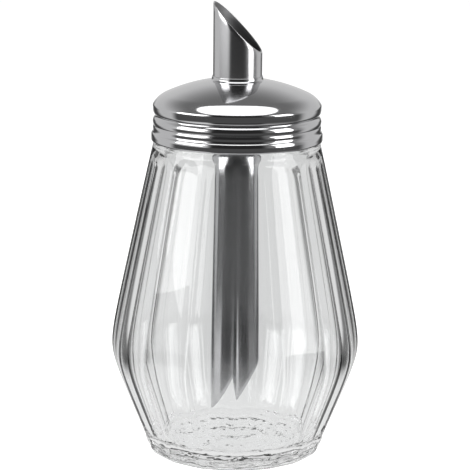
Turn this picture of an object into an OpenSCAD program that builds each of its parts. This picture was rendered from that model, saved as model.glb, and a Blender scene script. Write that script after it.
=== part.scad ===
// Sugar pourer: a fluted glass jar, a threaded steel cap and a slant-cut pouring tube.
// The jar stands on z = 0 round the Z axis. The spout's tip points to -X and the front is -Y.

/* [Jar] */
// Number of flutes round the jar
flutes = 16; // [8:1:20]
// Depth of a flute at the belly
flute_depth = 1.1; // [0.4:0.1:1.5]
// Radius where the two tapers of the belly would meet
belly_r = 45.9; // [42:0.1:50]
// Height where the two tapers of the belly would meet
belly_z = 36.6; // [30:0.1:45]
// Softness of the belly between its two tapers
belly_soft = 2.2; // [1:0.1:4]
// Radius of the flat foot
foot_r = 27.8; // [20:0.1:30]
// Radius at the heel, where the lower taper starts
heel_r = 32; // [31:0.1:36]
// Height of the heel
heel_z = 4; // [2:0.1:6]
// Step from the neck out to the shoulder, where the upper taper ends
shoulder_step = 2.5; // [2.3:0.05:3]
// Height of the shoulder
shoulder_z = 110; // [90:0.5:130]
// Thinnest glass, at the middle of a flute
wall = 2.6; // [2:0.1:3.5]
// Thickness of the floor
floor_t = 6; // [3:0.1:9]
// Depth of the hollow under the floor
punt_depth = 0.8; // [0.3:0.1:1.5]
// Width of the foot's flat ring outside that hollow
foot_ring = 5; // [3:0.5:8]

/* [Neck] */
// Inner radius of the mouth
mouth_r = 24; // [22:0.1:25]
// Outer radius of the neck between its threads
neck_r = 27; // [26.5:0.05:29]
// Height of the neck above the shoulder
neck_h = 15.2; // [14.5:0.1:18]
// Rise of the thread in one turn
thread_pitch = 5; // [4.5:0.1:5.5]
// Height of the glass thread off the neck
thread_h = 0.85; // [0.6:0.05:0.9]
// Turns of the glass thread
thread_turns = 1.25; // [1:0.05:1.4]
// Gap between the glass and the cap's thread, along the axis
thread_play = 0.35; // [0.3:0.05:0.5]
// Gap between the glass and the cap's thread, across the axis
thread_gap = 0.4; // [0.3:0.05:0.6]

/* [Cap] */
// Thickness of the cap's steel sheet
sheet_t = 0.4; // [0.3:0.05:0.5]
// Gap between the glass thread and the cap's sheet at the bead of its skirt
cap_room = 1.15; // [1.05:0.05:1.5]
// Radius of curvature of the dome
dome_r = 60.3; // [55:0.1:75]
// Radius of the knuckle between dome and skirt
knuckle_r = 7; // [6:0.1:8]
// Depth of the skirt's deepest groove
ring_depth = 0.85; // [0.5:0.05:0.9]
// Gap between the shoulder and the skirt's lower edge
skirt_gap = 1.4; // [1.2:0.1:2]
// Height of the drawn collar round the tube
collar_h = 1.2; // [0.8:0.1:2]
// Turns of the cap's thread
cap_turns = 1; // [0.8:0.05:1.2]

/* [Seal] */
// Thickness of the sealing ring at its outer edge
seal_t = 1; // [0.8:0.05:1.5]
// Width of the sealing ring
seal_w = 2.6; // [2:0.1:2.9]
// Gap between the sealing ring and the dome that turns on it
seal_gap = 0.15; // [0.1:0.01:0.25]

/* [Pouring tube] */
// Outer radius of the tube
tube_r = 8.53; // [7:0.01:10]
// Thickness of the tube's steel
tube_t = 0.7; // [0.5:0.05:1]
// Height of the spout's tip above the dome
spout_h = 27.1; // [22:0.1:40]
// Height that the spout's slant cut covers
spout_cut = 17.6; // [10:0.1:20]
// Turn of the spout's low side from +X towards the front
spout_turn = 9; // [0:1:30]
// Gap between the tube's lower tip and the floor
dip_gap = 9; // [5:0.5:20]
// Height that the lower slant cut covers
dip_cut = 17; // [10:0.1:20]
// Gap between the tube and each hole that it is pressed through
press_gap = 0.03; // [0.02:0.01:0.05]

/* [Retaining ring] */
// Outer radius of the flange under the dome
flange_r = 12.5; // [11:0.1:14]
// Thickness of the flange and of the sleeve
ring_t = 0.7; // [0.5:0.1:1]
// Length of the sleeve on the tube
sleeve_h = 5; // [3:0.5:8]

/* [Hidden] */
$fn = 96;
glass_colour = "#d5dbdc";
steel_colour = "#b4b7ba";
seal_colour = "#ece9e2";
// The front ridge lies at -Y
front = 270;
flute_steps = 6;
thread_steps = 48;
// Share of a thread over which each end runs out
run_out = 0.12;
thread_foot = 1.3;
thread_top = 0.5;
// Reach of a thread into the wall that carries it
thread_root = 0.3;
// Drop from the mouth to the top of the glass thread
thread_drop = 2.3;
shoulder_round = 1.8;
mouth_round = 0.8;
floor_round = 6;
arch_h = 6;
collar_round = 0.8;
knuckle_under = 2;
curl_r = 0.65;
eps = 0.01;

shoulder_r = neck_r + shoulder_step;
cap_r = neck_r + thread_h + cap_room + sheet_t;
upper_slope = (belly_r - shoulder_r) / (shoulder_z - belly_z);
lower_slope = (belly_r - heel_r) / (belly_z - heel_z);
rim_z = shoulder_z + neck_h;
thread_start_z = rim_z - thread_drop - thread_turns * thread_pitch;
seal_r = neck_r;
knuckle_c = cap_r - knuckle_r;
knuckle_z = rim_z + seal_t + seal_gap
    - sqrt(pow(knuckle_r - sheet_t, 2) - pow(seal_r - knuckle_c, 2));
dome_z = knuckle_z - sqrt(pow(dome_r - knuckle_r, 2) - pow(knuckle_c, 2));
skirt_h = knuckle_z - shoulder_z - skirt_gap;
hole_r = tube_r + press_gap;
cap_crest_r = neck_r + thread_gap;
spout_z = dome_at(tube_r, dome_r) + spout_h;
dip_z = floor_t + dip_gap;

// Outer steps of the skirt: [share of ring_depth outside cap_r, share of the skirt's height].
skirt_shape = [[-1, 0.1], [-0.24, 0.21], [0, 0.29], [-0.3, 0.42], [-0.12, 0.5],
               [-0.12, 0.6], [0.35, 0.715], [0.7, 0.815], [0.65, 0.92]];

function dome_at(r, radius) = dome_z + sqrt(radius * radius - r * r);

// Underside of the cap's roof at radius r, dome or knuckle
function roof_at(r) = r < (dome_r - sheet_t) * knuckle_c / (dome_r - knuckle_r)
    ? dome_at(r, dome_r - sheet_t)
    : knuckle_z + sqrt(pow(knuckle_r - sheet_t, 2) - pow(r - knuckle_c, 2));

// Radius on the jar's ridges: two straight tapers with a soft belly between them
function taper(z) =
    let (upper = belly_r - upper_slope * (z - belly_z),
         lower = belly_r + lower_slope * (z - belly_z))
    (upper + lower) / 2 - sqrt(pow((upper - lower) / 2, 2) + pow(belly_soft, 2));

function jar_r(z) =
    z < heel_z ? foot_r + (taper(heel_z) - foot_r) * sqrt(1 - pow(1 - z / heel_z, 2))
    : z < shoulder_z ? taper(z)
    : taper(shoulder_z) - shoulder_round * (1 - sqrt(1 - pow((z - shoulder_z) / shoulder_round, 2)));

function smooth(t) = let (c = max(0, min(1, t))) c * c * (3 - 2 * c);

// Depth of a flute at height z and place u, from -1 to 1 across it. Its top is an arch.
function flute(z, u) =
    let (arch = shoulder_z - arch_h * u * u / 2)
    flute_depth * (1 - u * u) * jar_r(min(z, shoulder_z)) / belly_r
    * smooth((arch - z) / arch_h) * (z < heel_z ? 0.5 + 0.5 * z / heel_z : 1);

function jar_ring(z) = [for (i = [0 : flutes * flute_steps - 1])
    let (u = 2 * (i % flute_steps) / flute_steps - 1,
         a = front + 360 * i / (flutes * flute_steps),
         r = jar_r(z) - flute(z, u))
    [r * cos(a), r * sin(a), z]];

// Heights of the jar's rings, closer together where the outline bends
jar_heights = concat(
    [for (i = [0 : 4]) heel_z * (1 - cos(22.5 * i))],
    [for (i = [1 : 5]) heel_z + (belly_z * 0.75 - heel_z) * i / 5],
    [for (i = [1 : 6]) belly_z * (0.75 + 0.1 * i)],
    [for (i = [1 : 6]) belly_z * 1.35 + (shoulder_z - 2 * arch_h - belly_z * 1.35) * i / 6],
    [for (i = [1 : 7]) shoulder_z - 2 * arch_h * (1 - i / 7)],
    [for (i = [1 : 4]) shoulder_z + shoulder_round * sin(22.5 * i - eps)]);

// Closed solid through rings of points, each ring running anticlockwise seen from its end
module loft(rings) {
    n = len(rings[0]);
    last = len(rings) - 1;
    polyhedron(
        points = [for (ring = rings) each ring],
        faces = concat(
            [[for (i = [0 : n - 1]) i]],
            [[for (i = [n - 1 : -1 : 0]) last * n + i]],
            [for (k = [0 : last - 1], i = [0 : n - 1])
                let (a = k * n + i, b = k * n + (i + 1) % n)
                [a, a + n, b + n, b]]));
}

// Helical ridge from radius base to radius crest, with both ends run out
module thread(base, crest, turns, start_z) {
    steps = round(turns * thread_steps);
    reach = thread_root * (crest > base ? -1 : 1);
    loft([for (k = [0 : steps])
        let (t = k / steps,
             s = max(0.05, min(1, t / run_out, (1 - t) / run_out)),
             a = 360 * k / thread_steps,
             z = start_z + thread_pitch * k / thread_steps,
             b = base + reach,
             c = base + (crest - base) * s,
             inner = crest > base ? [b, thread_foot] : [c, thread_top],
             outer = crest > base ? [c, thread_top] : [b, thread_foot])
        [for (p = [[inner[0], -inner[1]], [inner[0], inner[1]],
                   [outer[0], outer[1]], [outer[0], -outer[1]]])
            [p[0] * cos(a), p[0] * sin(a), z + p[1]]]]);
}

// Arc of n steps round a centre, as [radius, height] points
function arc(c, r, from, to, n) =
    [for (i = [0 : n]) let (a = from + (to - from) * i / n) c + r * [cos(a), sin(a)]];

// Smooth curve through the given points, with n steps from one to the next
function curve(p, n) = [for (i = [0 : len(p) - 2], j = [0 : n - 1])
    let (t = j / n, a = p[max(0, i - 1)], b = p[i], c = p[i + 1], d = p[min(len(p) - 1, i + 2)])
    b + t / 2 * (c - a) + t * t * (a - 2.5 * b + 2 * c - 0.5 * d)
        + t * t * t * (-0.5 * a + 1.5 * b - 1.5 * c + 0.5 * d)];

// Point of path p moved sideways by d, square to the path
function beside(p, i, d) =
    let (v = p[min(len(p) - 1, i + 1)] - p[max(0, i - 1)])
    p[i] + d / norm(v) * [-v[1], v[0]];

// Middle line of the cap's sheet, from the collar's top to the end of the curled edge
collar_turn = asin((hole_r + collar_round) / dome_r);
dome_start = asin((hole_r + sheet_t / 2 + collar_round * (1 - sin(collar_turn))) / dome_r);
dome_end = asin(knuckle_c / (dome_r - knuckle_r));
collar_c = [(dome_r - sheet_t / 2 + collar_round) * sin(dome_start),
            dome_z + (dome_r - sheet_t / 2 + collar_round) * cos(dome_start)];
skirt_points = [for (s = skirt_shape) [cap_r - sheet_t / 2 + ring_depth * s[0], knuckle_z - skirt_h * s[1]]];
curl_c = [skirt_points[len(skirt_points) - 1][0] - curl_r, knuckle_z - skirt_h + curl_r + sheet_t / 2];
knuckle_arc = arc([knuckle_c, knuckle_z], knuckle_r - sheet_t / 2, 90 - dome_end, -knuckle_under, 12);
cap_line = concat(
    [[collar_c[0] - collar_round, dome_at(hole_r, dome_r) + collar_h]],
    arc(collar_c, collar_round, 180, 270 - dome_start, 6),
    arc([0, dome_z], dome_r - sheet_t / 2, 90 - dome_start - 1, 90 - dome_end + 1, 8),
    knuckle_arc,
    curve(concat([knuckle_arc[12]], skirt_points), 4),
    arc(curl_c, curl_r, 0, -200, 8));

// Solid of revolution that fills the cap out to the middle of its sheet
module cap_inside() {
    last = len(cap_line) - 1;
    rotate_extrude()
        polygon(concat([[0, cap_line[last][1]], [0, cap_line[0][1]]],
                       [for (i = [0 : last - 6]) cap_line[i]], [[cap_line[last - 6][0], cap_line[last][1]]]));
}

// Tube along Z with both ends cut on a slant
module slant_tube(r, low, high) {
    length = high - low + 2;
    difference() {
        translate([0, 0, low - 1]) cylinder(h = length, r = r);
        rotate(-spout_turn) translate([0, 0, high]) slant_cut(spout_cut, 1);
        translate([0, 0, low]) slant_cut(dip_cut, -1);
    }
}

// Block beyond the slanted plane that starts at the tip on the -X side
module slant_cut(height, side) {
    size = 4 * tube_r + 2 * height;
    translate([-tube_r, 0, 0]) rotate([0, side * atan(height / (2 * tube_r)), 0])
        translate([-size / 2, -size / 2, side > 0 ? 0 : -size]) cube(size);
}

// Jar

module glass_jar() color(glass_colour) {
    difference() {
        union() {
            loft([for (z = jar_heights) jar_ring(z)]);
            neck();
            thread(neck_r, neck_r + thread_h, thread_turns, thread_start_z);
        }
        jar_cavity();
        jar_punt();
    }
}

module neck() {
    low = shoulder_z - shoulder_round;
    rotate_extrude() polygon(concat(
        [[0, low], [neck_r, low]],
        arc([neck_r - mouth_round, rim_z - mouth_round], mouth_round, 0, 90, 4),
        [[0, rim_z]]));
}

function cavity_r(z) = min(jar_r(min(z, shoulder_z)) - flute(min(z, shoulder_z - arch_h), 0) - wall,
                           mouth_r + max(0, shoulder_z - z) * 2);

module jar_cavity() {
    lean = atan(lower_slope);
    floor_r = cavity_r(floor_t + floor_round) - floor_round / cos(lean);
    body = [for (i = [0 : 20]) let (z = floor_t + floor_round
        + (shoulder_z - floor_t - floor_round) * i / 20) [cavity_r(z), z]];
    rotate_extrude() polygon(concat(
        [[0, floor_t]],
        arc([floor_r, floor_t + floor_round], floor_round, -90, -lean, 5),
        body,
        [[mouth_r, rim_z - mouth_round]],
        arc([mouth_r + mouth_round, rim_z - mouth_round], mouth_round, 180, 90, 4),
        [[mouth_r + mouth_round, rim_z + 1], [0, rim_z + 1]]));
}

module jar_punt() {
    punt_r = foot_r - foot_ring;
    sphere_r = (punt_r * punt_r + punt_depth * punt_depth) / (2 * punt_depth);
    translate([0, 0, punt_depth - sphere_r]) sphere(r = sphere_r);
}

// Seal

module sealing_ring() color(seal_colour)
    rotate_extrude() polygon(concat(
        [[seal_r, rim_z], [seal_r - seal_w, rim_z]],
        [for (i = [0 : 6]) let (r = seal_r - seal_w * (1 - i / 6)) [r, roof_at(r) - seal_gap]]));

// Cap

module cap_shell() color(steel_colour) {
    last = len(cap_line) - 1;
    rotate_extrude() polygon(concat(
        [for (i = [0 : last]) beside(cap_line, i, sheet_t / 2)],
        [for (i = [last : -1 : 0]) beside(cap_line, i, -sheet_t / 2)]));
    intersection() {
        thread(cap_r, cap_crest_r, cap_turns,
               thread_start_z - thread_foot - thread_top - thread_play);
        cap_inside();
    }
}

// Tube

module pouring_tube() color(steel_colour)
    difference() {
        slant_tube(tube_r, dip_z, spout_z);
        translate([0, 0, dip_z - 2]) cylinder(h = spout_z - dip_z + 4, r = tube_r - tube_t);
    }

module tube_retaining_ring() color(steel_colour)
    rotate_extrude() polygon(concat(
        [for (i = [0 : 4]) let (r = hole_r + collar_round + (flange_r - hole_r - collar_round) * i / 4)
            [r, roof_at(r) - press_gap]],
        [[flange_r, roof_at(flange_r) - ring_t],
         [hole_r + ring_t, roof_at(flange_r) - ring_t],
         [hole_r + ring_t, roof_at(flange_r) - sleeve_h],
         [hole_r, roof_at(flange_r) - sleeve_h],
         [hole_r, roof_at(hole_r + collar_round) - press_gap]]));

glass_jar();
sealing_ring();
cap_shell();
tube_retaining_ring();
pouring_tube();
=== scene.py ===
"""Looks of the sugar pourer: a fluted glass jar, a polished steel screw cap and a slant-cut steel tube.

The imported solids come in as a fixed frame. The jar, the cap and the tube are replaced by finer meshes
turned from the same outlines, and the ring and the seal inside keep their solids with a finish of their
own. Sizes below are in millimetres, as on the part's drawing, and MM turns them into metres.
"""

from __future__ import annotations

import logging
import math
from dataclasses import dataclass, field
from enum import Enum

import bpy  # noqa: E402
import numpy as np  # noqa: E402
from mathutils import Euler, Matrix, Vector  # noqa: E402

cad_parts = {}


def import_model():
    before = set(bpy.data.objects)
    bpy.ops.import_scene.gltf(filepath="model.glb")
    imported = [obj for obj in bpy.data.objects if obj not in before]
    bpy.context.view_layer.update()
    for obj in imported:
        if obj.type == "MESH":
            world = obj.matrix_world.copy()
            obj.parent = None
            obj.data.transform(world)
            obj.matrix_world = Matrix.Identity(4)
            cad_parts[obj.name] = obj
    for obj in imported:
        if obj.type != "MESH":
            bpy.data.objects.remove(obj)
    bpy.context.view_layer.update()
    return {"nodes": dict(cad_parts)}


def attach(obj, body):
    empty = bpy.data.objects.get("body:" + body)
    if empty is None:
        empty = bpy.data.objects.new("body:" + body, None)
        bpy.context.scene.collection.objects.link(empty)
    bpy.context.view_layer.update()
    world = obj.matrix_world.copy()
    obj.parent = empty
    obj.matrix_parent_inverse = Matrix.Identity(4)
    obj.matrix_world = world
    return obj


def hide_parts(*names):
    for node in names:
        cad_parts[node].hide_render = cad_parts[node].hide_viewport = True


LOG = logging.getLogger("sugar_pourer")
MM = 0.001
TAU = 2 * math.pi
Point = tuple[float, float]
Triple = tuple[float, float, float]
EVEN: Triple = (1.0, 1.0, 1.0)
TINY = 0.001


class Slot(Enum):
    """Material slots of the record."""

    JAR = "jar_glass"
    SEAL = "seal_rubber"
    CAP = "cap_steel"
    RING = "ring_steel"
    TUBE = "tube_steel"


class Body(Enum):
    """Bodies that move as one."""

    JAR = "jar"
    SEAL = "seal"
    CAP = "cap"


class Graph:
    """Writes chains of nodes into one node tree."""

    def __init__(self, tree: bpy.types.NodeTree) -> None:
        """Keeps the tree that the nodes go into."""
        self.tree = tree

    def node(self, kind: str, **settings: object) -> bpy.types.Node:
        """Adds a node.

        Args:
            kind: Blender's name for the node type.
            settings: properties of the node, by name.

        Returns:
            The new node.
        """
        made = self.tree.nodes.new(kind)
        for name, value in settings.items():
            setattr(made, name, value)
        return made

    def feed(self, target: bpy.types.NodeSocket, source: object) -> None:
        """Links a socket to target, or sets target to a plain value."""
        if isinstance(source, bpy.types.NodeSocket):
            self.tree.links.new(source, target)
        elif source is not None:
            target.default_value = source

    def math(self, operation: str, *sources: object, clamp: bool = False) -> bpy.types.NodeSocket:
        """Adds a Math node.

        Args:
            operation: the node's operation, such as "ADD".
            sources: sockets or numbers, in the order of the node's inputs.
            clamp: keeps the result between 0 and 1.

        Returns:
            The result's socket.
        """
        made = self.node("ShaderNodeMath", operation=operation, use_clamp=clamp)
        for target, source in zip(made.inputs, sources):
            self.feed(target, source)
        return made.outputs[0]

    def smooth(self, source: object, low: float, high: float) -> bpy.types.NodeSocket:
        """Adds a soft step that runs from 0 at low to 1 at high."""
        made = self.node("ShaderNodeMapRange", interpolation_type="SMOOTHSTEP")
        for target, value in zip(made.inputs, (source, low, high, 0.0, 1.0)):
            self.feed(target, value)
        return made.outputs[0]

    def noise(self, vector: object, scale: float, detail: float = 3.0) -> bpy.types.NodeSocket:
        """Adds a noise pattern on the given coordinates."""
        made = self.node("ShaderNodeTexNoise")
        self.feed(made.inputs["Vector"], vector)
        made.inputs["Scale"].default_value = scale
        made.inputs["Detail"].default_value = detail
        return made.outputs["Fac"]

    def parts(self, vector: bpy.types.NodeSocket) -> tuple[bpy.types.NodeSocket, ...]:
        """Splits a vector into the sockets of its X, Y and Z."""
        made = self.node("ShaderNodeSeparateXYZ")
        self.feed(made.inputs[0], vector)
        return tuple(made.outputs)

    def length(self, first: bpy.types.NodeSocket, second: bpy.types.NodeSocket) -> bpy.types.NodeSocket:
        """Adds the length of a vector that has two parts."""
        square = self.math("MULTIPLY", first, first)
        return self.math("SQRT", self.math("MULTIPLY_ADD", second, second, square))

    def stretched(self, scale: Triple) -> bpy.types.NodeSocket:
        """Adds object coordinates scaled along each axis."""
        mapping = self.node("ShaderNodeMapping")
        mapping.inputs["Scale"].default_value = scale
        self.feed(mapping.inputs["Vector"], self.node("ShaderNodeTexCoord").outputs["Object"])
        return mapping.outputs[0]

    def blend(self, factor: object, low: float, high: float) -> bpy.types.NodeSocket:
        """Adds a value that runs from low to high as factor runs from 0 to 1."""
        return self.math("MULTIPLY_ADD", factor, high - low, low)

    def mix(self, factor: object, low: object, high: object) -> bpy.types.NodeSocket:
        """Adds a value between low and high, which may be sockets."""
        made = self.node("ShaderNodeMix", data_type="FLOAT")
        for target, value in zip(made.inputs, (factor, None, low, high)):
            self.feed(target, value)
        return made.outputs[0]

    def tint(self, factor: object, low: object, high: object) -> bpy.types.NodeSocket:
        """Adds a colour between low and high.

        Args:
            factor: the share of high.
            low: a colour or a socket.
            high: a colour or a socket.

        Returns:
            The colour's socket.
        """
        made = self.node("ShaderNodeMix", data_type="RGBA")
        self.feed(made.inputs["Factor"], factor)
        for name, value in (("A", low), ("B", high)):
            linked = isinstance(value, bpy.types.NodeSocket)
            self.feed(made.inputs[name], value if linked else (*value, 1.0))
        return made.outputs["Result"]

    def bump(self, height: object, strength: float, distance: float) -> bpy.types.NodeSocket:
        """Adds a normal that follows a height pattern."""
        made = self.node("ShaderNodeBump")
        made.inputs["Strength"].default_value = strength
        made.inputs["Distance"].default_value = distance
        self.feed(made.inputs["Height"], height)
        return made.outputs[0]


@dataclass(frozen=True)
class ClearGlass:
    """Clear pressed glass: waves from the mould, wrinkles in the foot, and it lets lamps through."""

    name: str = "jar_glass"
    colour: Triple = (0.985, 0.99, 0.99)
    ior: float = 1.5
    wave_stretch: Triple = (1.0, 1.0, 0.45)
    wave_scale: float = 55.0
    wave_height: float = 0.25 * MM
    wave_strength: float = 0.35
    foot_top: float = 16 * MM
    foot_low: float = 6.4 * MM
    wrinkle_stretch: Triple = (1.0, 1.0, 1.6)
    wrinkle_scale: float = 130.0
    wrinkles: float = 9.0
    smear_scale: float = 160.0
    polish: Point = (0.0, 0.02)
    shadow: Triple = (0.9, 0.9, 0.9)

    def build(self) -> bpy.types.Material:
        """Makes the material and returns it."""
        material, graph, shader, output = new_material(self.name)
        shader.inputs["Base Color"].default_value = (*self.colour, 1.0)
        shader.inputs["Transmission Weight"].default_value = 1.0
        shader.inputs["IOR"].default_value = self.ior
        waves = graph.noise(graph.stretched(self.wave_stretch), self.wave_scale, 1.0)
        height = graph.parts(graph.stretched(EVEN))[2]
        foot = graph.smooth(height, self.foot_top, self.foot_low)
        wrinkles = graph.noise(graph.stretched(self.wrinkle_stretch), self.wrinkle_scale, 2.0)
        wrinkles = graph.math("MULTIPLY", wrinkles, foot)
        waves = graph.math("MULTIPLY_ADD", wrinkles, self.wrinkles, waves)
        smear = graph.noise(graph.stretched(EVEN), self.smear_scale)
        graph.feed(shader.inputs["Roughness"], graph.blend(smear, *self.polish))
        graph.feed(shader.inputs["Normal"], graph.bump(waves, self.wave_strength, self.wave_height))
        passing = graph.node("ShaderNodeBsdfTransparent")
        passing.inputs["Color"].default_value = (*self.shadow, 1.0)
        mix = graph.node("ShaderNodeMixShader")
        graph.feed(mix.inputs[0], graph.node("ShaderNodeLightPath").outputs["Is Shadow Ray"])
        graph.feed(mix.inputs[1], shader.outputs[0])
        graph.feed(mix.inputs[2], passing.outputs[0])
        graph.feed(output.inputs["Surface"], mix.outputs[0])
        return material


@dataclass(frozen=True)
class Steel:
    """Stainless steel: fine drawing marks, faint smears and a grey that varies a little.

    A tube's bore, inside bore_r, is made rougher, and its base colour there is darkened as painted shade.
    """

    name: str
    colour: Triple = (0.61, 0.61, 0.62)
    smear_shade: float = 0.94
    smear_scale: float = 70.0
    smear_share: float = 0.4
    polish: Point = (0.05, 0.12)
    mark_stretch: Triple = EVEN
    mark_scale: float = 900.0
    mark_depth: float = 0.004 * MM
    mark_strength: float = 0.5
    bore_r: float = 0.0
    # Share of the grey left inside the bore as painted shade; the same number is also added to the bore's
    # roughness.
    bore_painted_shade_and_roughness: float = 0.35

    def build(self) -> bpy.types.Material:
        """Makes the material and returns it."""
        material, graph, shader, output = new_material(self.name)
        shader.inputs["Metallic"].default_value = 1.0
        smear = graph.noise(graph.stretched(EVEN), self.smear_scale, 4.0)
        marks = graph.noise(graph.stretched(self.mark_stretch), self.mark_scale, 2.0)
        x, y, _ = graph.parts(graph.stretched(EVEN))
        bore = graph.math("LESS_THAN", graph.length(x, y), self.bore_r * MM)
        grey = graph.tint(smear, tuple(self.smear_shade * c for c in self.colour), self.colour)
        # Painted shade: inside the bore the base colour is darkened to stand for the shade in the tube.
        painted_bore_shade = tuple(self.bore_painted_shade_and_roughness * c for c in self.colour)
        graph.feed(shader.inputs["Base Color"], graph.tint(bore, grey, painted_bore_shade))
        smears = graph.math("MULTIPLY", smear, self.smear_share)
        mixed = graph.math("MULTIPLY_ADD", marks, 1 - self.smear_share, smears)
        rough = graph.math("MULTIPLY_ADD", bore, self.bore_painted_shade_and_roughness, graph.blend(mixed, *self.polish))
        graph.feed(shader.inputs["Roughness"], rough)
        graph.feed(shader.inputs["Normal"], graph.bump(marks, self.mark_strength, self.mark_depth))
        graph.feed(output.inputs["Surface"], shader.outputs[0])
        return material


@dataclass(frozen=True)
class SoftRubber:
    """Off-white sealing rubber: matte, with a faint grain."""

    name: str = "seal_rubber"
    colour: Triple = (0.78, 0.77, 0.74)
    grain_shade: float = 0.9
    grain_scale: float = 1800.0
    grain_depth: float = 0.02 * MM
    grain_strength: float = 0.3
    polish: Point = (0.55, 0.7)

    def build(self) -> bpy.types.Material:
        """Makes the material and returns it."""
        material, graph, shader, output = new_material(self.name)
        grain = graph.noise(graph.stretched(EVEN), self.grain_scale, 4.0)
        shade = tuple(self.grain_shade * c for c in self.colour)
        graph.feed(shader.inputs["Base Color"], graph.tint(grain, shade, self.colour))
        graph.feed(shader.inputs["Roughness"], graph.blend(grain, *self.polish))
        graph.feed(shader.inputs["Normal"], graph.bump(grain, self.grain_strength, self.grain_depth))
        graph.feed(output.inputs["Surface"], shader.outputs[0])
        return material


def new_material(name: str) -> tuple[bpy.types.Material, Graph, bpy.types.Node, bpy.types.Node]:
    """Starts a node material.

    Args:
        name: the material's name.

    Returns:
        The material, a Graph on its tree, its Principled node and its output node.
    """
    material = bpy.data.materials.new(name)
    material.use_nodes = True
    nodes = material.node_tree.nodes
    nodes.clear()
    graph = Graph(material.node_tree)
    return material, graph, nodes.new("ShaderNodeBsdfPrincipled"), nodes.new("ShaderNodeOutputMaterial")


def arc(centre: Point, radius: float, start: float, end: float, steps: int) -> list[Point]:
    """Points along an arc.

    Args:
        centre: the arc's centre as (radius, height).
        radius: the arc's radius.
        start: angle of the first point in degrees.
        end: angle of the last point in degrees.
        steps: number of steps.

    Returns:
        The points, the first and the last included.
    """
    angles = np.radians(np.linspace(start, end, steps + 1))
    return [(centre[0] + radius * math.cos(a), centre[1] + radius * math.sin(a)) for a in angles]


def curve(points: list[Point], steps: int) -> list[Point]:
    """Points along a smooth curve through the given ones.

    Args:
        points: the points that the curve passes through.
        steps: number of steps from one to the next.

    Returns:
        The curve's points, without the last given one.
    """
    made: list[Point] = []
    rows = [np.array(p) for p in points]
    for i in range(len(rows) - 1):
        a, b, c, d = rows[max(0, i - 1)], rows[i], rows[i + 1], rows[min(len(rows) - 1, i + 2)]
        for t in np.arange(steps) / steps:
            p = b + t / 2 * (c - a) + t * t * (a - 2.5 * b + 2 * c - 0.5 * d)
            p = p + t**3 * (-0.5 * a + 1.5 * b - 1.5 * c + 0.5 * d)
            made.append((float(p[0]), float(p[1])))
    return made


def beside(path: list[Point], distance: float) -> list[Point]:
    """Moves every point of a path sideways, square to the path.

    Args:
        path: the path's points.
        distance: how far to the left of the path's direction.

    Returns:
        The moved points.
    """
    rows = np.array(path)
    along = np.gradient(rows, axis=0)
    along /= np.linalg.norm(along, axis=1)[:, None]
    return [tuple(p) for p in rows + distance * np.stack([-along[:, 1], along[:, 0]], axis=1)]


def turned_mesh(
    name: str, outline: list[Point], segments: int, marks: dict[str, list[float]], loop: bool = False
) -> bpy.types.Object:
    """Turns an outline round the Z axis into a closed mesh.

    Args:
        name: the new object's name.
        outline: points as (radius, height) in millimetres, the outside running upwards. A radius of 0
            makes a pole.
        segments: number of steps round the axis.
        marks: values for each outline point, kept as vertex attributes under their names.
        loop: joins the last outline point to the first.

    Returns:
        The object.
    """
    angles = np.arange(segments) * TAU / segments
    ring = np.stack([np.cos(angles), np.sin(angles)], axis=1)
    corners: list[np.ndarray] = []
    starts: list[int] = []
    counts: list[int] = []
    total = 0
    for radius, height in outline:
        count = 1 if radius == 0 else segments
        rows = np.zeros((count, 3))
        rows[:, 2] = height
        if radius:
            rows[:, :2] = ring * radius
        starts.append(total)
        counts.append(count)
        corners.append(rows)
        total += count
    faces: list[tuple[int, ...]] = []
    last = len(outline) if loop else len(outline) - 1
    for i in range(last):
        j = (i + 1) % len(outline)
        a, b = starts[i], starts[j]
        for k in range(segments):
            n = (k + 1) % segments
            if counts[i] == 1:
                faces.append((a, b + n, b + k))
            elif counts[j] == 1:
                faces.append((a + k, a + n, b))
            else:
                faces.append((a + k, a + n, b + n, b + k))
    mesh = bpy.data.meshes.new(name)
    mesh.from_pydata((np.concatenate(corners) * MM).tolist(), [], faces)
    for mark, values in marks.items():
        attribute = mesh.attributes.new(mark, "FLOAT", "POINT")
        attribute.data.foreach_set("value", np.repeat(np.array(values, dtype=float), counts))
    mesh.shade_smooth()
    made = bpy.data.objects.new(name, mesh)
    bpy.context.scene.collection.objects.link(made)
    return made


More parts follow.
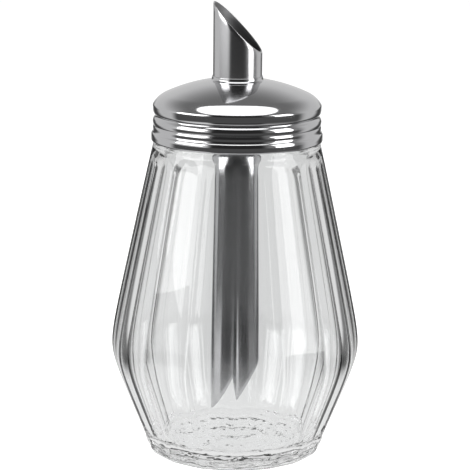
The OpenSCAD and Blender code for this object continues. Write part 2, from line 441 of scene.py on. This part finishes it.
class ReliefTree:
    """A Geometry Nodes tree that moves points towards or away from the Z axis, or along it."""

    def __init__(self, name: str, inputs: dict[str, float]) -> None:
        """Starts a tree.

        Args:
            name: the tree's name.
            inputs: the tree's own numbers with their values, besides its geometry and material.
        """
        self.tree = bpy.data.node_groups.new(name, "GeometryNodeTree")
        self.graph = Graph(self.tree)
        self.values = dict(inputs)
        face = self.tree.interface
        face.new_socket("Geometry", in_out="INPUT", socket_type="NodeSocketGeometry")
        for label in inputs:
            face.new_socket(label, in_out="INPUT", socket_type="NodeSocketFloat")
        face.new_socket("Material", in_out="INPUT", socket_type="NodeSocketMaterial")
        face.new_socket("Geometry", in_out="OUTPUT", socket_type="NodeSocketGeometry")
        self.start = self.graph.node("NodeGroupInput")
        position = self.graph.node("GeometryNodeInputPosition").outputs[0]
        self.x, self.y, self.z = self.graph.parts(position)
        self.radius = self.graph.length(self.x, self.y)
        self.turn = self.graph.math("DIVIDE", self.graph.math("ARCTAN2", self.y, self.x), TAU)

    def number(self, label: str) -> bpy.types.NodeSocket:
        """Returns the socket of one of the tree's own numbers."""
        return self.start.outputs[label]

    def mark(self, name: str) -> bpy.types.NodeSocket:
        """Adds the value of a vertex attribute and returns its socket."""
        made = self.graph.node("GeometryNodeInputNamedAttribute", data_type="FLOAT")
        made.inputs["Name"].default_value = name
        return made.outputs["Attribute"]

    def finish(self, radius: object, height: object) -> None:
        """Ends the tree: every point goes to a new radius and height at its own angle.

        Args:
            radius: socket of the new radius.
            height: socket of the new height.
        """
        graph = self.graph
        least = graph.math("MAXIMUM", self.radius, 1e-9)
        share = graph.math("DIVIDE", radius, least)
        place = graph.node("ShaderNodeCombineXYZ")
        graph.feed(place.inputs[0], graph.math("MULTIPLY", self.x, share))
        graph.feed(place.inputs[1], graph.math("MULTIPLY", self.y, share))
        graph.feed(place.inputs[2], height)
        move = graph.node("GeometryNodeSetPosition")
        graph.feed(move.inputs["Geometry"], self.start.outputs["Geometry"])
        graph.feed(move.inputs["Position"], place.outputs[0])
        whole = graph.node("GeometryNodeRealizeInstances")
        graph.feed(whole.inputs[0], move.outputs[0])
        dress = graph.node("GeometryNodeSetMaterial")
        graph.feed(dress.inputs["Geometry"], whole.outputs[0])
        graph.feed(dress.inputs["Material"], self.start.outputs["Material"])
        graph.feed(graph.node("NodeGroupOutput").inputs[0], dress.outputs[0])

    def apply(self, made: bpy.types.Object, material: bpy.types.Material) -> None:
        """Runs the tree on an object and keeps the result as a plain mesh.

        Args:
            made: the object.
            material: the material that the tree gives it.
        """
        modifier = made.modifiers.new(self.tree.name, "NODES")
        modifier.node_group = self.tree
        for item in self.tree.interface.items_tree:
            if item.in_out == "INPUT" and item.name in self.values:
                modifier[item.identifier] = float(self.values[item.name])
            elif item.in_out == "INPUT" and item.name == "Material":
                modifier[item.identifier] = material
        graph = bpy.context.evaluated_depsgraph_get()
        mesh = bpy.data.meshes.new_from_object(made.evaluated_get(graph))
        made.modifiers.remove(modifier)
        old = made.data
        made.data = mesh
        bpy.data.meshes.remove(old)
        mesh.shade_smooth()


def flute_tree(flutes: int, depth: float, arch_z: float, arch_h: float) -> ReliefTree:
    """Presses flutes into a turned surface, each with an arched top.

    The depth at a point is scaled by the vertex attribute "fluted".

    Args:
        flutes: number of flutes round the axis.
        depth: depth at the middle of a flute.
        arch_z: height where the flutes end.
        arch_h: height over which they fade out.

    Returns:
        The tree.
    """
    sizes = {"Flutes": flutes, "Depth": depth * MM, "Arch Height": arch_z * MM, "Arch Fade": arch_h * MM}
    tree = ReliefTree("Flutes", sizes)
    graph = tree.graph
    count = graph.math("MULTIPLY_ADD", tree.turn, tree.number("Flutes"), 4 * flutes)
    share = graph.math("FRACT", count)
    across = graph.math("MULTIPLY_ADD", share, 2.0, -1.0)
    square = graph.math("MULTIPLY", across, across)
    bowl = graph.math("SUBTRACT", 1.0, square)
    fade = tree.number("Arch Fade")
    drop = graph.math("MULTIPLY", graph.math("MULTIPLY", square, 0.5), fade)
    arch = graph.math("SUBTRACT", tree.number("Arch Height"), drop)
    left = graph.math("DIVIDE", graph.math("SUBTRACT", arch, tree.z), fade)
    soft = graph.smooth(left, 0.0, 1.0)
    sunk = graph.math("MULTIPLY", graph.math("MULTIPLY", bowl, soft), tree.number("Depth"))
    sunk = graph.math("MULTIPLY", sunk, tree.mark("fluted"))
    tree.finish(graph.math("SUBTRACT", tree.radius, sunk), tree.z)
    return tree


@dataclass(frozen=True)
class Thread:
    """A screw thread that starts at +X, on the outside or the inside of a neck."""

    start_z: float
    pitch: float
    turns: float
    crest_r: float
    foot: float = 1.3
    top: float = 0.5
    run_out: float = 0.12


def thread_tree(thread: Thread) -> ReliefTree:
    """Raises a screw thread on a turned surface where its vertex attribute "threaded" is 1.

    Args:
        thread: the thread's sizes. Its foot and top are half widths, and its ends run out over the
            given share of its turns.

    Returns:
        The tree.
    """
    sizes = {
        "Start": thread.start_z * MM,
        "Pitch": thread.pitch * MM,
        "Turns": thread.turns,
        "Crest Radius": thread.crest_r * MM,
        "Foot": thread.foot * MM,
        "Top": thread.top * MM,
        "Run Out": thread.run_out * thread.turns,
    }
    tree = ReliefTree("ScrewThread", sizes)
    graph = tree.graph
    above = graph.math("SUBTRACT", tree.z, tree.number("Start"))
    level = graph.math("DIVIDE", above, tree.number("Pitch"))
    whole = graph.math("ROUND", graph.math("SUBTRACT", level, tree.turn))
    along = graph.math("ADD", whole, tree.turn)
    away = graph.math("ABSOLUTE", graph.math("SUBTRACT", level, along))
    away = graph.math("MULTIPLY", away, tree.number("Pitch"))
    flank = graph.math("SUBTRACT", tree.number("Foot"), tree.number("Top"))
    rise = graph.math("DIVIDE", graph.math("SUBTRACT", tree.number("Foot"), away), flank, clamp=True)
    left = graph.math("SUBTRACT", tree.number("Turns"), along)
    ends = graph.math("MINIMUM", along, left)
    ends = graph.math("DIVIDE", ends, tree.number("Run Out"), clamp=True)
    share = graph.math("MULTIPLY", graph.math("MULTIPLY", rise, ends), tree.mark("threaded"))
    reach = graph.math("SUBTRACT", tree.number("Crest Radius"), tree.radius)
    tree.finish(graph.math("MULTIPLY_ADD", reach, share, tree.radius), tree.z)
    return tree


@dataclass(frozen=True)
class SlantCut:
    """A slanted cut across the tube: the height of its tip and the height that it covers."""

    tip_z: float
    height: float


def slant_tree(radius: float, dip: SlantCut, spout: SlantCut, turn: float) -> ReliefTree:
    """Stretches a short turned sleeve between two slanted ends.

    The vertex attribute "along" runs from 0 at the lower end to 1 at the upper one.

    Args:
        radius: outer radius of the tube.
        dip: the lower cut, whose tip points down.
        spout: the upper cut, whose tip points up.
        turn: turn of the upper cut's low side from +X towards the front, in degrees.

    Returns:
        The tree.
    """
    sizes = {
        "Low": dip.tip_z * MM,
        "Low Slope": dip.height / (2 * radius),
        "High": spout.tip_z * MM,
        "High Slope": spout.height / (2 * radius),
        "Radius": radius * MM,
        "Cosine": math.cos(math.radians(turn)),
        "Sine": math.sin(math.radians(turn)),
    }
    tree = ReliefTree("SlantEnds", sizes)
    graph = tree.graph
    from_tip = graph.math("ADD", tree.x, tree.number("Radius"))
    bottom = graph.math("MULTIPLY_ADD", from_tip, tree.number("Low Slope"), tree.number("Low"))
    side = graph.math("MULTIPLY", tree.x, tree.number("Cosine"))
    side = graph.math("SUBTRACT", side, graph.math("MULTIPLY", tree.y, tree.number("Sine")))
    side = graph.math("ADD", side, tree.number("Radius"))
    drop = graph.math("MULTIPLY", side, tree.number("High Slope"))
    top = graph.math("SUBTRACT", tree.number("High"), drop)
    length = graph.math("SUBTRACT", top, bottom)
    height = graph.math("MULTIPLY_ADD", length, tree.mark("along"), bottom)
    tree.finish(tree.radius, graph.math("ADD", height, tree.z))
    return tree


@dataclass
class Jar:
    """The fluted glass jar, with its thick foot and its threaded neck."""

    flutes: int = 16
    flute_depth: float = 1.1
    belly_r: float = 45.9
    belly_z: float = 36.6
    belly_soft: float = 2.2
    foot_r: float = 27.8
    heel_r: float = 32.0
    heel_z: float = 4.0
    shoulder_r: float = 29.5
    shoulder_z: float = 110.0
    shoulder_round: float = 1.8
    wall: float = 2.6
    floor_t: float = 6.0
    floor_round: float = 6.0
    punt_depth: float = 0.8
    punt_edge: float = 5.0
    mouth_r: float = 24.0
    mouth_round: float = 0.8
    neck_r: float = 27.0
    neck_h: float = 15.2
    thread_h: float = 0.85
    thread_pitch: float = 5.0
    thread_turns: float = 1.25
    thread_drop: float = 2.3
    arch_h: float = 6.0
    mouth_soft: float = 0.9
    mouth_slope: float = 1.1
    foot_share: float = 0.5
    steps_per_flute: int = 24
    row: float = 1.3
    fine_row: float = 0.6
    fine_h: float = 12.0
    neck_row: float = 0.36
    glass: ClearGlass = field(default_factory=ClearGlass)

    @property
    def rim_z(self) -> float:
        """Height of the mouth."""
        return self.shoulder_z + self.neck_h

    @property
    def thread(self) -> Thread:
        """The thread round the neck."""
        start = self.rim_z - self.thread_drop - self.thread_turns * self.thread_pitch
        return Thread(start, self.thread_pitch, self.thread_turns, self.neck_r + self.thread_h)

    def taper(self, z: float) -> float:
        """Radius on the ridges at height z: two straight tapers with a soft belly between."""
        upper_slope = (self.belly_r - self.shoulder_r) / (self.shoulder_z - self.belly_z)
        lower_slope = (self.belly_r - self.heel_r) / (self.belly_z - self.heel_z)
        upper = self.belly_r - upper_slope * (z - self.belly_z)
        lower = self.belly_r + lower_slope * (z - self.belly_z)
        return (upper + lower) / 2 - math.hypot((upper - lower) / 2, self.belly_soft)

    def levels(self, low: float, high: float, step: float) -> list[float]:
        """Heights from low up to high, a step apart."""
        return [float(z) for z in np.arange(low, high, step)]

    def outside(self) -> list[Point]:
        """Points of the outside from the hollow under the foot to the top of the neck."""
        edge = self.foot_r - self.punt_edge
        ball = (edge**2 + self.punt_depth**2) / (2 * self.punt_depth)
        punt_z = self.punt_depth - ball
        under = [(r, punt_z + math.sqrt(ball**2 - r * r)) for r in np.linspace(0, edge, 9)]
        heel_run = self.taper(self.heel_z) - self.foot_r
        heel = []
        for a in np.linspace(0, math.pi / 2, 15):
            heel.append((self.foot_r + heel_run * math.sin(a), self.heel_z * (1 - math.cos(a))))
        fine_z = self.shoulder_z - self.fine_h
        heights = self.levels(self.heel_z + 0.8, fine_z, self.row)
        heights += self.levels(fine_z, self.shoulder_z, self.fine_row)
        straight = [(self.taper(z), z) for z in heights]
        edge_r = self.taper(self.shoulder_z) - self.shoulder_round
        shoulder = arc((edge_r, self.shoulder_z), self.shoulder_round, 0, 80, steps=7)
        neck_low = self.shoulder_z + self.shoulder_round + 0.3
        neck = self.levels(neck_low, self.rim_z - self.mouth_round, self.neck_row)
        return [*under, (edge + 2, 0.0), *heel, *straight, *shoulder, *((self.neck_r, z) for z in neck)]

    def inside_r(self, z: float) -> float:
        """Inner radius at height z, drawn in softly to the mouth."""
        body = self.taper(z) - self.flute_depth * self.taper(z) / self.belly_r - self.wall
        neck = self.mouth_r + max(0.0, self.shoulder_z + 1 - z) * self.mouth_slope
        return (body + neck) / 2 - math.hypot((body - neck) / 2, self.mouth_soft)

    def inside(self) -> list[Point]:
        """Points of the mouth and the inside, from the rim down to the middle of the floor."""
        round_r = self.mouth_round
        rim = arc((self.neck_r - round_r, self.rim_z - round_r), round_r, 0, 90, steps=6)
        rim += arc((self.mouth_r + round_r, self.rim_z - round_r), round_r, 90, 180, steps=6)
        neck = [(self.mouth_r, self.rim_z - d) for d in (3.0, 6.0, 9.0, 12.0)]
        top, low = self.shoulder_z - 0.5, self.floor_t + self.floor_round
        lean = math.atan((self.belly_r - self.heel_r) / (self.belly_z - self.heel_z))
        body = [(self.inside_r(z), float(z)) for z in np.linspace(top, low, 52)]
        centre = (self.inside_r(low) - self.floor_round / math.cos(lean), low)
        corner = arc(centre, self.floor_round, -math.degrees(lean), -90, steps=12)
        floor = [(centre[0] * s, self.floor_t) for s in (0.8, 0.55, 0.3, 0.1, 0.0)]
        return [*rim, *neck, *body, *corner, *floor]

    def build(self) -> bpy.types.Object:
        """Makes the jar and returns it."""
        outside = self.outside()
        inside = self.inside()
        plain = [0.0] * len(inside)
        neck_z = self.shoulder_z + self.shoulder_round
        fluted = [self.fluted_share(r, z) for r, z in outside] + plain
        threaded = [float(z > neck_z) for _, z in outside] + plain
        marks = {"fluted": fluted, "threaded": threaded}
        segments = self.flutes * self.steps_per_flute
        made = turned_mesh("jar", outside + inside, segments, marks)
        material = self.glass.build()
        flute_tree(self.flutes, self.flute_depth, self.shoulder_z, self.arch_h).apply(made, material)
        thread_tree(self.thread).apply(made, material)
        return made

    def fluted_share(self, radius: float, z: float) -> float:
        """Share of a flute's full depth at a point of the outside: less at the foot, none under it."""
        if radius < self.foot_r:
            return 0.0
        share = self.taper(min(max(z, self.heel_z), self.shoulder_z)) / self.belly_r
        return share * (self.foot_share + (1 - self.foot_share) * min(1.0, z / self.heel_z))


@dataclass
class Cap:
    """The pressed steel cap: collar, dome, knuckle, ringed skirt, rolled edge and thread."""

    jar: Jar
    sheet_t: float = 0.4
    cap_r: float = 29.4
    dome_r: float = 60.3
    knuckle_r: float = 7.0
    knuckle_under: float = 2.0
    shoulder_arc: float = 9.1
    edge_turn: float = 32.0
    edge_r: float = 1.1
    ring_depth: float = 0.85
    skirt_gap: float = 1.4
    collar_h: float = 1.2
    collar_round: float = 0.8
    curl_r: float = 0.65
    seal_t: float = 1.0
    seal_gap: float = 0.15
    hole_r: float = 8.56
    crest_gap: float = 0.4
    turns: float = 1.0
    thread_below: float = 2.15
    thread_room: float = 2.0
    skirt_shape: tuple[Point, ...] = (
        (-0.06, -0.1),
        (-0.3, 0.0),
        (-1.0, 0.1),
        (-0.2, 0.22),
        (0.02, 0.3),
        (-0.12, 0.38),
        (-0.3, 0.43),
        (-0.06, 0.49),
        (-0.06, 0.6),
        (0.12, 0.66),
        (0.52, 0.715),
        (0.66, 0.78),
        (0.66, 0.86),
        (0.65, 0.92),
    )
    segments: int = 240
    steel: Steel = field(default_factory=lambda: Steel("cap_steel"))

    @property
    def knuckle_z(self) -> float:
        """Height of the knuckle's centre, where the dome clears the seal."""
        inner = self.knuckle_r - self.sheet_t
        rise = math.sqrt(inner**2 - (self.jar.neck_r - self.knuckle_c) ** 2)
        return self.jar.rim_z + self.seal_t + self.seal_gap - rise

    @property
    def knuckle_c(self) -> float:
        """Radius of the knuckle's centre."""
        return self.cap_r - self.knuckle_r

    @property
    def dome_z(self) -> float:
        """Height of the dome's centre of curvature."""
        return self.knuckle_z - math.sqrt((self.dome_r - self.knuckle_r) ** 2 - self.knuckle_c**2)

    @property
    def thread(self) -> Thread:
        """The thread pressed into the skirt, under the glass thread."""
        start = self.jar.thread.start_z - self.thread_below
        return Thread(start, self.jar.thread_pitch, self.turns, self.jar.neck_r + self.crest_gap)

    def top(self) -> list[Point]:
        """Middle line of the sheet from the collar's top over the dome to the edge above the skirt."""
        half = self.sheet_t / 2
        tilt = math.asin((self.hole_r + self.collar_round) / self.dome_r)
        start = math.asin((self.hole_r + half + self.collar_round * (1 - math.sin(tilt))) / self.dome_r)
        end = math.asin(self.knuckle_c / (self.dome_r - self.knuckle_r))
        reach = self.dome_r - half + self.collar_round
        centre = (reach * math.sin(start), self.dome_z + reach * math.cos(start))
        start, join = math.degrees(start), 90 - math.degrees(end)
        collar_z = self.dome_z + math.sqrt(self.dome_r**2 - self.hole_r**2) + self.collar_h
        collar = [(centre[0] - self.collar_round, collar_z - d) for d in (0.0, 0.15, 0.3)]
        fillet = arc(centre, self.collar_round, 180, 270 - start, steps=12)
        dome = arc((0.0, self.dome_z), self.dome_r - half, 90 - start - 0.5, join + 0.4, steps=30)
        shoulder = self.shoulder_arc - half
        drop = self.dome_r - half - shoulder
        middle = (drop * math.sin(end), self.dome_z + drop * math.cos(end))
        shoulder_line = arc(middle, shoulder, join, self.edge_turn, steps=22)
        turn = math.radians(self.edge_turn)
        edge_r = self.edge_r - half
        last_r, last_z = shoulder_line[-1]
        edge_c = (last_r - edge_r * math.cos(turn), last_z - edge_r * math.sin(turn))
        edge = arc(edge_c, edge_r, self.edge_turn, -self.knuckle_under, steps=12)
        return [*collar, *fillet, *dome, *shoulder_line, *edge[1:]]

    def skirt(self, start: Point) -> list[Point]:
        """Middle line of the sheet from start down the ringed skirt and round the rolled edge."""
        half = self.sheet_t / 2
        height = self.knuckle_z - self.jar.shoulder_z - self.skirt_gap
        side = self.cap_r - half
        shape = [(side + self.ring_depth * s, self.knuckle_z - height * d) for s, d in self.skirt_shape]
        curl = (shape[-1][0] - self.curl_r, self.knuckle_z - height + self.curl_r + half)
        return [*curve([start, *shape], steps=6), *arc(curl, self.curl_r, 0, -200, steps=16)]

    def build(self) -> bpy.types.Object:
        """Makes the cap and returns it."""
        top = self.top()
        line = [*top[:-1], *self.skirt(top[-1])]
        half = self.sheet_t / 2
        outer, inner = beside(line, half), beside(line, -half)
        low = self.thread.start_z - self.thread_room
        high = self.thread.start_z + self.turns * self.jar.thread_pitch + self.thread_room
        threaded = [float(low < z < high and r < self.cap_r) for r, z in inner] + [0.0] * len(outer)
        made = turned_mesh("cap", inner + outer[::-1], self.segments, {"threaded": threaded}, loop=True)
        thread_tree(self.thread).apply(made, self.steel.build())
        return made


@dataclass
class PouringTube:
    """The steel tube with its slant-cut spout and dip end, both with rounded lips."""

    cap: Cap
    radius: float = 8.53
    wall: float = 0.7
    spout_h: float = 27.1
    spout_cut: float = 17.6
    spout_turn: float = 9.0
    dip_gap: float = 9.0
    dip_cut: float = 17.0
    segments: int = 192
    rows: int = 60
    lip_steps: int = 6
    # Inside 8.1 mm the tube's steel gets painted shade, a darker base colour, and is also made rougher.
    steel: Steel = field(
        default_factory=lambda: Steel(
            "tube_steel", polish=(0.14, 0.24), mark_stretch=(1.0, 1.0, 0.02), mark_scale=1500.0, bore_r=8.1
        )
    )

    def outline(self) -> tuple[list[Point], list[float]]:
        """Works out the wall's outline, with a lip at each end that has a fine groove along it.

        Returns:
            The points, their heights counted from the nearer end, and each point's "along" value.
        """
        half = self.wall / 2
        middle = self.radius - half
        steps = np.linspace(0, 1, self.rows)
        inset = [half, *(0.0 for _ in steps[2:]), -half]
        turns = np.radians(np.linspace(0, 180, self.lip_steps + 1))[1:-1]
        rises = [half * (math.sin(a) - 1) for a in turns]
        rises[len(rises) // 2] = -half
        outline = [(self.radius, z) for z in inset]
        outline += [(middle + half * math.cos(a), z) for a, z in zip(turns, rises)]
        outline += [(self.radius - self.wall, z) for z in inset[::-1]]
        outline += [(middle - half * math.cos(a), -z) for a, z in zip(turns, rises)]
        along = [*steps, *(1.0 for _ in turns), *steps[::-1], *(0.0 for _ in turns)]
        return outline, along

    def build(self) -> bpy.types.Object:
        """Makes the tube and returns it."""
        cap = self.cap
        dome_z = cap.dome_z + math.sqrt(cap.dome_r**2 - self.radius**2)
        spout = SlantCut(dome_z + self.spout_h, self.spout_cut)
        dip = SlantCut(cap.jar.floor_t + self.dip_gap, self.dip_cut)
        outline, along = self.outline()
        made = turned_mesh("pouring_tube_steel", outline, self.segments, {"along": along}, loop=True)
        slant_tree(self.radius, dip, spout, self.spout_turn).apply(made, self.steel.build())
        return made


class Face(Enum):
    """Outlines of a lamp's lit face."""

    ROUND = "ELLIPSE"
    SQUARE = "RECTANGLE"


@dataclass(frozen=True)
class Softbox:
    """A softbox that faces the object.

    turn is its direction from the front, to the right, and rise its elevation, both in degrees. Its
    distance and size are in metres, and bright is how bright its face is, where 1 is white.
    """

    name: str
    turn: float
    rise: float
    distance: float
    size: Point
    bright: float
    face: Face = Face.SQUARE

    def hang(self, eye_z: float) -> None:
        """Hangs the softbox round a point on the axis.

        Args:
            eye_z: the point's height in metres.
        """
        data = bpy.data.lights.new(self.name, "AREA")
        data.shape = self.face.value
        data.size, data.size_y = self.size
        data.energy = self.bright * math.pi * self.size[0] * self.size[1]
        made = bpy.data.objects.new(self.name, data)
        a, e = math.radians(self.turn), math.radians(self.rise)
        way = Vector((math.sin(a) * math.cos(e), -math.cos(a) * math.cos(e), math.sin(e)))
        made.location = Vector((0.0, 0.0, eye_z)) + way * self.distance
        made.rotation_euler = (-way).to_track_quat("-Z", "Y").to_euler()
        bpy.context.scene.collection.objects.link(made)


@dataclass
class Studio:
    """Floor, world, lamps and the camera that the photograph was taken from.

    Tones are brightnesses where 1 is white. A pair of numbers is where one tone starts to give way to
    another and where it has gone: along the rise, the depth behind, or the reach in metres.
    """

    frame_px: float = 470.0
    focal_px: float = 2030.7
    sensor_mm: float = 36.0
    distance: float = 700.0
    height: float = 227.44
    pitch: float = 12.077
    roll: float = 0.55
    aside: float = -0.35
    floor_size: float = 3.0
    floor_tone: float = 0.8
    floor_glow: float = 0.75
    eye_z: float = 0.13
    near: float = 0.25
    backdrop: float = 0.72
    flag: float = 0.08
    flag_start: Point = (0.16, 0.36)
    flag_end: Point = (0.85, 0.52)
    flag_top: Point = (0.0, 0.12)
    sky: float = 0.22
    sky_rise: Point = (0.35, 0.8)
    side_rise: Point = (0.15, 0.6)
    left_back: float = 0.75
    left_front: float = 1.0
    left_turn: Point = (0.2, -0.5)
    right: float = 0.28
    middle: Point = (-0.02, 0.02)
    front: float = 0.03
    front_turn: Point = (-0.7, -0.85)
    behind_turn: Point = (-0.05, 0.35)
    under: float = 0.8
    under_edge: Point = (0.13, 0.06)
    cloth: float = 0.1
    cloth_start: Point = (0.15, 0.25)
    cloth_end: Point = (1.1, 0.85)
    cloth_turn: Point = (0.2, -0.05)
    softboxes: tuple[Softbox, ...] = (
        Softbox("overhead", 0.0, 81.0, 0.9, (1.3, 0.92), 1.6, Face.ROUND),
        Softbox("right", 66.0, 14.0, 0.9, (0.46, 0.85), 3.2),
        Softbox("left", -67.0, 20.0, 0.95, (0.75, 0.62), 3.2),
    )

    def camera(self) -> None:
        """Places the camera."""
        data = bpy.data.cameras.new("camera")
        data.sensor_width = self.sensor_mm
        data.lens = self.focal_px * self.sensor_mm / self.frame_px
        data.clip_start = 0.01
        made = bpy.data.objects.new("camera", data)
        made.location = (self.aside * MM, -self.distance * MM, self.height * MM)
        turn = Euler((math.radians(90 - self.pitch), 0.0, 0.0)).to_matrix()
        roll = Euler((0.0, 0.0, math.radians(self.roll))).to_matrix()
        made.rotation_euler = (turn @ roll).to_euler()
        bpy.context.scene.collection.objects.link(made)
        bpy.context.scene.camera = made

    def tone(self, graph: Graph, way: bpy.types.NodeSocket, near: float) -> bpy.types.NodeSocket:
        """Brightness of the studio in a direction, as metal and glass show it.

        A lit backdrop stands straight behind with dark flags beside it. The left is light, the right is
        grey, the front is dark, and the floor under the object is light.

        Args:
            graph: the graph that the nodes go into.
            way: socket of the direction.
            near: length added behind, which widens the backdrop for points close by.

        Returns:
            Socket of the brightness.
        """
        x, y, z = graph.parts(way)
        flat = graph.math("MAXIMUM", graph.length(y, x), TINY)
        rise = graph.math("DIVIDE", z, graph.length(flat, z))
        depth = graph.math("DIVIDE", y, flat)
        depth_near = graph.math("MAXIMUM", graph.math("ADD", y, near), TINY)
        aside = graph.math("DIVIDE", graph.math("ABSOLUTE", x), depth_near)
        flags = graph.math(
            "MULTIPLY", graph.smooth(aside, *self.flag_start), graph.smooth(aside, *self.flag_end)
        )
        low = graph.mix(flags, self.backdrop, self.flag)
        high = graph.mix(graph.smooth(rise, *self.sky_rise), self.backdrop, self.sky)
        behind = graph.mix(graph.smooth(rise, *self.flag_top), low, high)
        left = graph.mix(graph.smooth(depth, *self.left_turn), self.left_back, self.left_front)
        sides = graph.mix(graph.smooth(x, *self.middle), left, self.right)
        sides = graph.mix(graph.smooth(rise, *self.side_rise), sides, self.sky)
        sides = graph.mix(graph.smooth(depth, *self.front_turn), sides, self.front)
        around = graph.mix(graph.smooth(depth, *self.behind_turn), sides, behind)
        patch = graph.math("LESS_THAN", z, 0.0)
        patch = graph.math("MULTIPLY", graph.smooth(flat, *self.under_edge), patch)
        return graph.mix(patch, around, self.under)

    def world(self) -> None:
        """Builds the surroundings: white to the camera, shaded for what metal and glass show."""
        world = bpy.data.worlds.new("studio")
        bpy.context.scene.world = world
        world.use_nodes = True
        graph = Graph(world.node_tree)
        graph.tree.nodes.clear()
        tone = self.tone(graph, graph.node("ShaderNodeTexCoord").outputs["Generated"], 0.0)
        seen = graph.node("ShaderNodeLightPath").outputs["Is Camera Ray"]
        background = graph.node("ShaderNodeBackground")
        graph.feed(background.inputs["Strength"], graph.mix(seen, tone, 1.0))
        background.inputs["Color"].default_value = (1.0, 1.0, 1.0, 1.0)
        graph.feed(graph.node("ShaderNodeOutputWorld").inputs[0], background.outputs[0])

    def mirrored_floor(self, graph: Graph) -> bpy.types.NodeSocket:
        """Brightness of the floor as metal and glass show it: a dark cloth lies in front and beside.

        Args:
            graph: the graph of the floor's paint.

        Returns:
            Socket of the brightness.
        """
        away = graph.node("ShaderNodeVectorMath", operation="SUBTRACT")
        graph.feed(away.inputs[0], graph.node("ShaderNodeTexCoord").outputs["Object"])
        away.inputs[1].default_value = (0.0, 0.0, self.eye_z)
        x, y, _ = graph.parts(away.outputs[0])
        reach = graph.length(x, y)
        ahead = graph.math("DIVIDE", y, graph.math("MAXIMUM", reach, TINY))
        start, end = graph.smooth(reach, *self.cloth_start), graph.smooth(reach, *self.cloth_end)
        cloth = graph.math("MULTIPLY", end, start)
        cloth = graph.math("MULTIPLY", cloth, graph.smooth(ahead, *self.cloth_turn))
        return graph.mix(cloth, self.tone(graph, away.outputs[0], self.near), self.cloth)

    def floor(self) -> bpy.types.Object:
        """Makes the floor and returns it."""
        mesh = bpy.data.meshes.new("floor")
        s = self.floor_size
        mesh.from_pydata([(-s, -s, 0), (s, -s, 0), (s, s, 0), (-s, s, 0)], [], [(0, 1, 2, 3)])
        material, graph, shader, output = new_material("floor_paint")
        tone = self.floor_tone
        shader.inputs["Base Color"].default_value = (tone, tone, tone, 1.0)
        shader.inputs["Roughness"].default_value = 0.9
        shader.inputs["Specular IOR Level"].default_value = 0.0
        shader.inputs["Emission Color"].default_value = (1.0, 1.0, 1.0, 1.0)
        path = graph.node("ShaderNodeLightPath").outputs
        glow = graph.math("MULTIPLY", path["Is Camera Ray"], self.floor_glow)
        graph.feed(shader.inputs["Emission Strength"], glow)
        shown = graph.node("ShaderNodeEmission")
        graph.feed(shown.inputs["Strength"], self.mirrored_floor(graph))
        mix = graph.node("ShaderNodeMixShader")
        mirrored = graph.math("MAXIMUM", path["Is Glossy Ray"], path["Is Transmission Ray"])
        graph.feed(mix.inputs[0], mirrored)
        graph.feed(mix.inputs[1], shader.outputs[0])
        graph.feed(mix.inputs[2], shown.outputs[0])
        graph.feed(output.inputs["Surface"], mix.outputs[0])
        mesh.materials.append(material)
        made = bpy.data.objects.new("floor", mesh)
        bpy.context.scene.collection.objects.link(made)
        return made

    def lamps(self) -> None:
        """Hangs the softboxes."""
        for softbox in self.softboxes:
            softbox.hang(self.eye_z)


def dress_solid(frame: dict, node: str, material: bpy.types.Material) -> None:
    """Gives a carried-over solid its finish.

    Args:
        frame: the loaded frame.
        node: the solid's node.
        material: its material.
    """
    made = frame["nodes"][node]
    if not made.material_slots:
        made.data.materials.append(material)
    for slot in made.material_slots:
        slot.material = material
    LOG.info("%s keeps its solid and wears %s", node, material.name)


def place(piece: bpy.types.Object, body: Body, node: str, slot: Slot) -> None:
    """Puts a piece on its body in place of its solid.

    Args:
        piece: the piece.
        body: the body that it moves with.
        node: the solid that it stands for.
        slot: the record's slot; not used.
    """
    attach(piece, body.value)
    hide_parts(node)
    faces = sum(len(p.vertices) - 2 for p in piece.data.polygons)
    LOG.info("%s stands for %s on %s with %d triangles", piece.name, node, body.value, faces)


def main() -> None:
    """Builds the scene around the frame."""
    logging.basicConfig(level=logging.INFO, format="%(name)s: %(message)s")
    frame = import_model()
    bpy.context.scene.view_settings.view_transform = "Standard"
    studio = Studio()
    studio.camera()
    studio.world()
    studio.floor()
    studio.lamps()
    jar = Jar()
    cap = Cap(jar)
    tube = PouringTube(cap)
    place(jar.build(), Body.JAR, "glass_jar", Slot.JAR)
    place(cap.build(), Body.CAP, "cap_shell", Slot.CAP)
    place(tube.build(), Body.CAP, "pouring_tube", Slot.TUBE)
    dress_solid(frame, "sealing_ring", SoftRubber().build())
    dress_solid(frame, "tube_retaining_ring", Steel("ring_steel", polish=(0.25, 0.4)).build())


if __name__ == "__main__":
    main()
